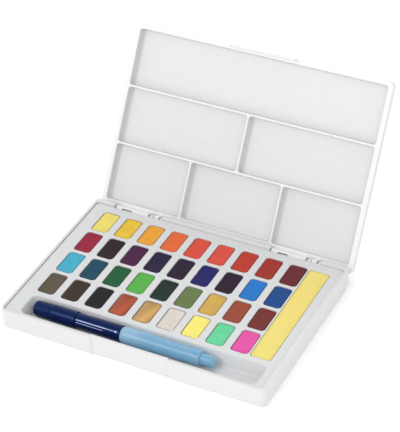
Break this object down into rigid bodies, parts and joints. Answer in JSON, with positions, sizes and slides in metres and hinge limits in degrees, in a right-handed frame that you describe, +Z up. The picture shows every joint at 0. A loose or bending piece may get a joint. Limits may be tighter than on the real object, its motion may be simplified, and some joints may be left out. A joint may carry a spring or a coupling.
{
  "type": "watercolor pan set",
  "caption": "Flat white watercolor box with a hinged mixing-palette lid, paint cakes in a moulded insert, a sponge strip and a water brush in a front trough.",
  "frame": {"origin": "centre of the case's underside, where it rests on the table", "axes": "+X to the painter's right along the hinge line, +Y to the rear where the hinges are, +Z up; the lid rests open, leaning back"},
  "size_m": [0.225, 0.2444, 0.1394],
  "materials": {
    "case_plastic": "white moulded plastic, satin",
    "insert_plastic": "white moulded plastic, satin",
    "lid_plastic": "white moulded plastic, satin outside, smooth in the wells",
    "hinge_steel": "drawn wire",
    "sponge_foam": "open cell foam",
    "brush_navy": "glossy",
    "brush_nose": "translucent",
    "bristle_nylon": "fine filaments",
    "feed_felt": "porous",
    "barrel_blue": "translucent, soft",
    "paint_lemon": "dry pressed cake, satin",
    "paint_golden_yellow": "dry pressed cake, satin",
    "paint_yellow_orange": "dry pressed cake, satin",
    "paint_orange": "dry pressed cake, satin",
    "paint_vermilion": "dry pressed cake, satin",
    "paint_scarlet": "dry pressed cake, satin",
    "paint_red": "dry pressed cake, satin",
    "paint_dark_red": "dry pressed cake, satin",
    "paint_maroon": "dry pressed cake, satin",
    "paint_crimson": "dry pressed cake, satin",
    "paint_dark_brown": "dry pressed cake, satin",
    "paint_purple": "dry pressed cake, satin",
    "paint_dark_violet": "dry pressed cake, satin",
    "paint_deep_violet": "dry pressed cake, satin",
    "paint_ultramarine": "dry pressed cake, satin",
    "paint_plum": "dry pressed cake, satin",
    "paint_sky_blue": "dry pressed cake, satin",
    "paint_blue": "dry pressed cake, satin",
    "paint_turquoise": "dry pressed cake, satin",
    "paint_teal": "dry pressed cake, satin",
    "paint_green": "dry pressed cake, satin",
    "paint_bright_green": "dry pressed cake, satin",
    "paint_dark_green": "dry pressed cake, satin",
    "paint_olive": "dry pressed cake, satin",
    "paint_ochre": "dry pressed cake, satin",
    "paint_sienna": "dry pressed cake, satin",
    "paint_red_brown": "dry pressed cake, satin",
    "paint_khaki": "dry pressed cake, satin",
    "paint_umber": "dry pressed cake, satin",
    "paint_black": "dry pressed cake, satin",
    "paint_copper": "metallic, pressed cake",
    "paint_gold": "metallic, pressed cake",
    "paint_pearl": "metallic, pressed cake",
    "paint_neon_yellow": "dry pressed cake, satin",
    "paint_neon_green": "dry pressed cake, satin",
    "paint_neon_pink": "dry pressed cake, satin"
  },
  "bodies": {
    "base": {"base_shell": "case_plastic", "insert_tray": "insert_plastic", "hinge_pin_left": "hinge_steel", "hinge_pin_right": "hinge_steel", "paint_1_1_lemon": "paint_lemon", "paint_1_2_golden_yellow": "paint_golden_yellow", "paint_1_3_yellow_orange": "paint_yellow_orange", "paint_1_4_orange": "paint_orange", "paint_1_5_vermilion": "paint_vermilion", "paint_1_6_scarlet": "paint_scarlet", "paint_1_7_red": "paint_red", "paint_1_8_dark_red": "paint_dark_red", "paint_1_9_maroon": "paint_maroon", "paint_2_1_crimson": "paint_crimson", "paint_2_2_dark_brown": "paint_dark_brown", "paint_2_3_purple": "paint_purple", "paint_2_4_dark_violet": "paint_dark_violet", "paint_2_5_deep_violet": "paint_deep_violet", "paint_2_6_ultramarine": "paint_ultramarine", "paint_2_7_plum": "paint_plum", "paint_2_8_sky_blue": "paint_sky_blue", "paint_2_9_blue": "paint_blue", "paint_3_1_turquoise": "paint_turquoise", "paint_3_2_teal": "paint_teal", "paint_3_3_green": "paint_green", "paint_3_4_bright_green": "paint_bright_green", "paint_3_5_dark_green": "paint_dark_green", "paint_3_6_olive": "paint_olive", "paint_3_7_ochre": "paint_ochre", "paint_3_8_sienna": "paint_sienna", "paint_3_9_red_brown": "paint_red_brown", "paint_4_1_khaki": "paint_khaki", "paint_4_2_umber": "paint_umber", "paint_4_3_black": "paint_black", "paint_4_4_copper": "paint_copper", "paint_4_5_gold": "paint_gold", "paint_4_6_pearl": "paint_pearl", "paint_4_7_neon_yellow": "paint_neon_yellow", "paint_4_8_neon_green": "paint_neon_green", "paint_4_9_neon_pink": "paint_neon_pink"},
    "lid": {"lid_shell": "lid_plastic"},
    "sponge": {"sponge": "sponge_foam"},
    "brush_cap": {"brush_cap": "brush_navy"},
    "brush_handle": {"brush_collar": "brush_navy", "brush_nose": "brush_nose", "brush_bristles": "bristle_nylon", "brush_feed_plug": "feed_felt"},
    "brush_barrel": {"brush_barrel": "barrel_blue"}
  },
  "joints": [
    {"name": "lid_hinge", "type": "hinge", "parent": "base", "child": "lid", "pos_m": [0, 0.0763, 0.0131], "axis": [-1, 0, 0], "range_deg": [-123.25, 0]},
    {"name": "sponge_lift", "type": "slide", "parent": "base", "child": "sponge", "axis": [0, 0, 1], "range_m": [0, 0.03]},
    {"name": "brush_lift", "type": "slide", "parent": "base", "child": "brush_cap", "axis": [0, 0, 1], "range_m": [0, 0.05]},
    {"name": "cap_pull", "type": "slide", "parent": "brush_cap", "child": "brush_handle", "axis": [1, 0, 0], "range_m": [0, 0.034]},
    {"name": "barrel_unscrew", "type": "slide", "parent": "brush_handle", "child": "brush_barrel", "axis": [1, 0, 0], "range_m": [0, 0.013]}
  ]
}
